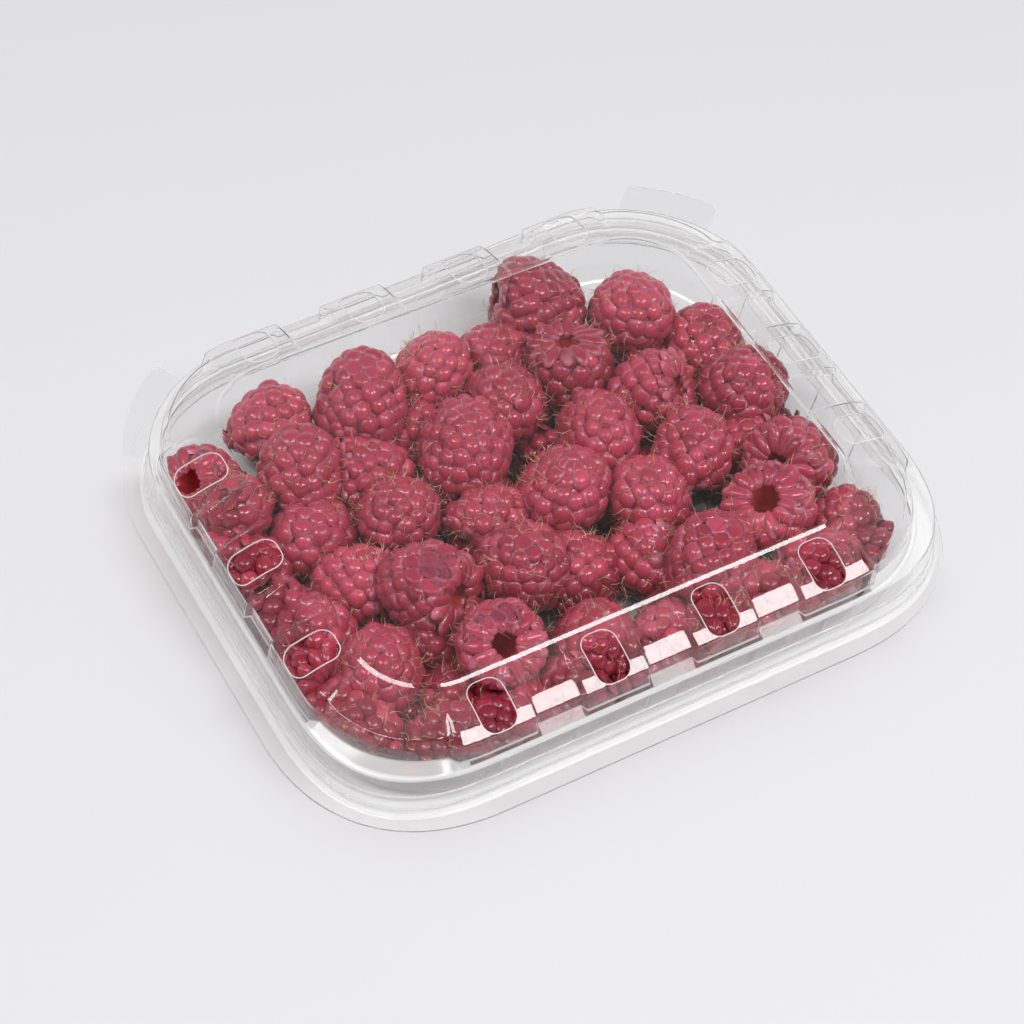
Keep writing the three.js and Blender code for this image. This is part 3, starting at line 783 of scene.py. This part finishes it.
def lay_berries(name, berries, random, sides, rings):
    """One piece of several berries, each vertex with its tone and crown. Shade is painted into the
    tone: the berries are darker low down and at the wall, where shade falls, less so at the back,
    which is emptier and lighter. The pale folds fade where this shade is painted."""
    points, faces, tones_and_shade, crowns = [], [], [], []
    start = 0
    for plan in berries:
        some, some_faces, tone, crown, feet = berry(*plan, random, sides, rings)
        points.append(some)
        faces.append(some_faces + start)
        # Painted shade, strongest at the front: the tone sinks low down, where the berries shade
        # each other, and next to the wall.
        front = 1 - smooth_step(some[:, 1] / 30)
        low = LOW_PAINTED_SHADE * smooth_step((16 - some[:, 2]) / 13) * (0.6 + 0.4 * front)
        at_wall = WALL_PAINTED_SHADE * smooth_step(past_panel(some)[0] / 6) * front
        tones_and_shade.append(tone + random.normal(0, BERRY_TONE_SPREAD) - low - at_wall)
        # Where shade is painted, the pale folds and their painted glow fade too.
        crown_in_shade = np.clip(crown + DOWN_LOST_IN_SHADE * (low + at_wall), 0, 1)
        crowns.append(np.where(crown < 0, crown, crown_in_shade))
        style_feet.append(feet)
        start += len(some)
    piece = new_piece(name, np.concatenate(points), np.concatenate(faces).tolist(), skin)
    # The tone attribute holds the random tone and the painted shade.
    for key, values in (("tone", tones_and_shade), ("crown", crowns)):
        attribute = piece.data.attributes.new(key, "FLOAT", "POINT")
        attribute.data.foreach_set("value", np.concatenate(values).astype(np.float32))
    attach(piece, "root")
    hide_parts("raspberries")


random = np.random.default_rng(5)
for row, berries in enumerate(BERRY_ROWS):
    lay_berries(f"raspberry_row_{row + 1}", berries, random, 14, 5)

BED_SPACING = 14
bed_random = np.random.default_rng(9)
bed = []
for x in range(-59, 60, BED_SPACING):
    for y in range(-47, 10 if x < -50 else 30, BED_SPACING):
        at_wall = y < -40 or abs(x) > 55 and y < 20
        z, wide = (8.5, 16) if at_wall else (5, 12)
        shift = bed_random.uniform(-2.5, 2.5, 2)
        bed.append((x + shift[0], y + shift[1], z, wide * bed_random.uniform(0.93, 1.07),
                    bed_random.uniform(0, 360), bed_random.uniform(-40, 40)))
shown = len(style_feet)
lay_berries("raspberry_bed", bed, bed_random, 8, 3)
del style_feet[shown:]

# ---- styles -------------------------------------------------------------------------------------
# Dried yellow threads, one from each flower part, that still stick out between the drupelets.
# Each is a thin curled thread with three sides that narrows to its tip.

STYLES_A_BERRY = 115
STYLE_LENGTH = (1.3, 3.6)
STYLE_RADIUS = 0.09
STYLE_TAPER = 0.65
STYLE_STEPS = 6
STYLE_LOWEST = -0.35  # the steepest underside, as the height of its way up, that still has styles


def grow_styles(feet, random):
    """Vertices and faces of the styles of one berry."""
    centres, normals, sizes = feet
    count = STYLES_A_BERRY
    chosen = random.choice(np.flatnonzero(normals[:, 2] > STYLE_LOWEST), count)
    way = normals[chosen]
    loose = random.normal(0, 1, (count, 3))
    side = np.cross(way, loose)
    side /= np.linalg.norm(side, axis=1)[:, None]
    foot = centres[chosen] + side * sizes[chosen][:, None] * 0.85 + way * 0.4
    lean = way + 0.45 * random.normal(0, 1, (count, 3))
    lean /= np.linalg.norm(lean, axis=1)[:, None]
    bend = np.cross(lean, random.normal(0, 1, (count, 3)))
    bend /= np.linalg.norm(bend, axis=1)[:, None]
    other = np.cross(lean, bend)
    length = random.uniform(*STYLE_LENGTH, count)
    curl = random.normal(0, 1.3, (count, 1))
    t = np.linspace(0, 1, STYLE_STEPS)
    angle = curl * t
    line = foot[:, None] + length[:, None, None] * (
        lean[:, None] * (t * (1 - 0.25 * np.abs(angle)))[..., None]
        + bend[:, None] * (0.55 * curl * t ** 2)[..., None]
        + other[:, None] * (0.16 * np.sin(4.5 * t + curl * 3) * t)[..., None]
    )
    radius = STYLE_RADIUS * (1 - STYLE_TAPER * t)
    turns = np.arange(3) * 2 * math.pi / 3
    rings = line[:, :, None] + radius[None, :, None, None] * (
        bend[:, None, None] * np.cos(turns)[None, None, :, None]
        + other[:, None, None] * np.sin(turns)[None, None, :, None]
    )
    faces = []
    for step in range(STYLE_STEPS - 1):
        for i in range(3):
            following = (i + 1) % 3
            a, b = step * 3 + i, step * 3 + following
            faces.append((a, b, b + 3, a + 3))
    last = (STYLE_STEPS - 1) * 3
    per = STYLE_STEPS * 3
    every = (np.array(faces)[None] + np.arange(count)[:, None, None] * per).reshape(-1, 4).tolist()
    every += [(k * per + last, k * per + last + 1, k * per + last + 2) for k in range(count)]
    return rings.reshape(-1, 3), every


style_skin = bpy.data.materials.new("dried_style")
style_skin.use_nodes = True
style_shader = style_skin.node_tree.nodes["Principled BSDF"]
style_noise = style_skin.node_tree.nodes.new("ShaderNodeTexNoise")
style_noise.inputs["Scale"].default_value = 180
style_ramp = style_skin.node_tree.nodes.new("ShaderNodeValToRGB")
style_ramp.color_ramp.elements[0].position = 0.35
style_ramp.color_ramp.elements[0].color = (0.55, 0.24, 0.12, 1)
style_ramp.color_ramp.elements[1].position = 0.62
style_ramp.color_ramp.elements[1].color = (0.84, 0.58, 0.34, 1)
style_place = style_skin.node_tree.nodes.new("ShaderNodeTexCoord")
style_skin.node_tree.links.new(style_place.outputs["Object"], style_noise.inputs["Vector"])
style_skin.node_tree.links.new(style_noise.outputs["Fac"], style_ramp.inputs["Fac"])
style_skin.node_tree.links.new(style_ramp.outputs["Color"], style_shader.inputs["Base Color"])
style_shader.inputs["Roughness"].default_value = 0.5

style_random = np.random.default_rng(3)
style_points, style_faces = [], []
for feet in style_feet:
    some, some_faces = grow_styles(feet, style_random)
    start = sum(len(p) for p in style_points)
    style_points.append(keep_in_room(some))
    style_faces += [tuple(i + start for i in face) for face in some_faces]
styles = new_piece("berry_styles", np.concatenate(style_points), style_faces, style_skin)
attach(styles, "root")

# ---- floor, light and camera --------------------------------------------------------------------
# A white studio: a pale floor, a soft box high on the right and one on the left, a faint low one at
# the front, and light from all round.

bpy.ops.mesh.primitive_plane_add(size=6, location=(0, 0, 0))
floor = bpy.context.object
floor.name = "studio_floor"
paper = bpy.data.materials.new("studio_paper")
paper.use_nodes = True
paper_shader = paper.node_tree.nodes["Principled BSDF"]
paper_shader.inputs["Base Color"].default_value = (0.79, 0.79, 0.805, 1)
paper_shader.inputs["Roughness"].default_value = 0.9
paper_shader.inputs["Specular IOR Level"].default_value = 0.1
floor.data.materials.append(paper)

# Surfaces mirror a bright ring of walls near the horizon and a darker ceiling.
world = bpy.data.worlds.new("studio")
world.use_nodes = True
room_nodes, room_links = world.node_tree.nodes, world.node_tree.links
room_light = room_nodes["Background"]
room_way = room_nodes.new("ShaderNodeTexCoord")
room_axes = room_nodes.new("ShaderNodeSeparateXYZ")
room_links.new(room_way.outputs["Generated"], room_axes.inputs["Vector"])
overhead = room_nodes.new("ShaderNodeMapRange")
overhead.interpolation_type = "SMOOTHSTEP"
overhead.inputs["From Min"].default_value = 0.25
overhead.inputs["From Max"].default_value = 1
overhead.inputs["To Min"].default_value = 0.1
overhead.inputs["To Max"].default_value = 0.75
room_links.new(room_axes.outputs["Z"], overhead.inputs["Value"])
room_links.new(overhead.outputs["Result"], room_light.inputs["Strength"])
ceiling_place = room_nodes.new("ShaderNodeMapRange")
ceiling_place.inputs["From Min"].default_value = -0.6
ceiling_place.inputs["From Max"].default_value = 0.65
room_links.new(room_axes.outputs["Y"], ceiling_place.inputs["Value"])
ceiling = room_nodes.new("ShaderNodeValToRGB")
for place, grey in ((0.3, 0.25), (0.4, 0.65), (0.67, 0.5), (0.838, 0.12)):
    ceiling.color_ramp.elements.new(place).color = (grey, grey, grey, 1)
ceiling.color_ramp.elements[0].color = (0.15, 0.15, 0.15, 1)
ceiling.color_ramp.elements[5].color = (0.34, 0.34, 0.34, 1)
room_links.new(ceiling_place.outputs["Result"], ceiling.inputs["Fac"])
walls = room_nodes.new("ShaderNodeMapRange")
walls.interpolation_type = "SMOOTHSTEP"
walls.inputs["From Min"].default_value = 0.2
walls.inputs["From Max"].default_value = 0.5
walls.inputs["To Min"].default_value = 0.9
room_links.new(room_axes.outputs["Z"], walls.inputs["Value"])
room_links.new(ceiling.outputs["Color"], walls.inputs["To Max"])
room_mirrored = room_nodes.new("ShaderNodeBackground")
for shader in (room_light, room_mirrored):
    shader.inputs["Color"].default_value = (1, 1, 1, 1)
room_links.new(walls.outputs["Result"], room_mirrored.inputs["Strength"])
room_path = room_nodes.new("ShaderNodeLightPath")
room_mix = room_nodes.new("ShaderNodeMixShader")
room_links.new(room_path.outputs["Is Glossy Ray"], room_mix.inputs["Fac"])
room_links.new(room_light.outputs["Background"], room_mix.inputs[1])
room_links.new(room_mirrored.outputs["Background"], room_mix.inputs[2])
room_links.new(room_mix.outputs["Shader"], room_nodes["World Output"].inputs["Surface"])
bpy.context.scene.world = world

SOFT_BOX_DISTANCE = 0.9
MIRRORED_GAIN = 6  # how much brighter the soft boxes are in what mirrors them
# Name, way to it, way along it, width, height and power.
SOFT_BOXES = [
    ("soft_box_right", (0.29, -0.455, 0.84), (1, 0, 0), 0.55, 0.19, 3.2),
    ("soft_box_left", (-0.46, 0.02, 0.88), (0.35, -0.92, 0.2), 0.7, 0.16, 2.4),
    ("soft_box_low", (0.37, -0.91, 0.18), (1, 0.4, 0), 0.5, 0.25, 0.25),
]
for name, way, along, width, height, power in SOFT_BOXES:
    way = Vector(way).normalized()
    across = way.cross(along).normalized()
    turn = Matrix((across.cross(way), across, way)).transposed()
    bpy.ops.object.light_add(type="AREA", location=way * SOFT_BOX_DISTANCE)
    soft_box = bpy.context.object
    soft_box.name = name
    soft_box.rotation_euler = turn.to_euler()
    soft_box.data.shape = "RECTANGLE"
    soft_box.data.size = width
    soft_box.data.size_y = height
    soft_box.data.energy = power
    soft_box.data.use_nodes = True
    box_nodes, box_links = soft_box.data.node_tree.nodes, soft_box.data.node_tree.links
    box_path = box_nodes.new("ShaderNodeLightPath")
    box_gain = box_nodes.new("ShaderNodeMath")
    box_gain.operation = "MULTIPLY_ADD"
    box_gain.inputs[1].default_value = MIRRORED_GAIN
    box_gain.inputs[2].default_value = 1
    box_links.new(box_path.outputs["Is Glossy Ray"], box_gain.inputs[0])
    box_links.new(box_gain.outputs["Value"], box_nodes["Emission"].inputs["Strength"])

TARGET = Vector((-11.6, -12.5, 24.5)) * MM
TOWARDS = Vector((0.342, 0.5266, -0.7783)).normalized()
CAMERA_DISTANCE = 523.8 * MM
CAMERA_ROLL = math.radians(4.89)
bpy.ops.object.camera_add(location=TARGET - TOWARDS * CAMERA_DISTANCE)
camera = bpy.context.object
camera.rotation_mode = "QUATERNION"
camera.rotation_quaternion = TOWARDS.to_track_quat("-Z", "Y") @ Quaternion((0, 0, 1), CAMERA_ROLL)
camera.data.angle = math.radians(20.98)
camera.data.clip_start = 0.01
camera.data.clip_end = 20
bpy.context.scene.camera = camera

scene = bpy.context.scene
scene.view_settings.view_transform = "Standard"
scene.cycles.max_bounces = 24
scene.cycles.transmission_bounces = 24
scene.cycles.transparent_max_bounces = 32
scene.cycles.diffuse_bounces = 3
scene.cycles.glossy_bounces = 6
scene.cycles.caustics_reflective = False
scene.cycles.caustics_refractive = False
scene.cycles.use_denoising = True
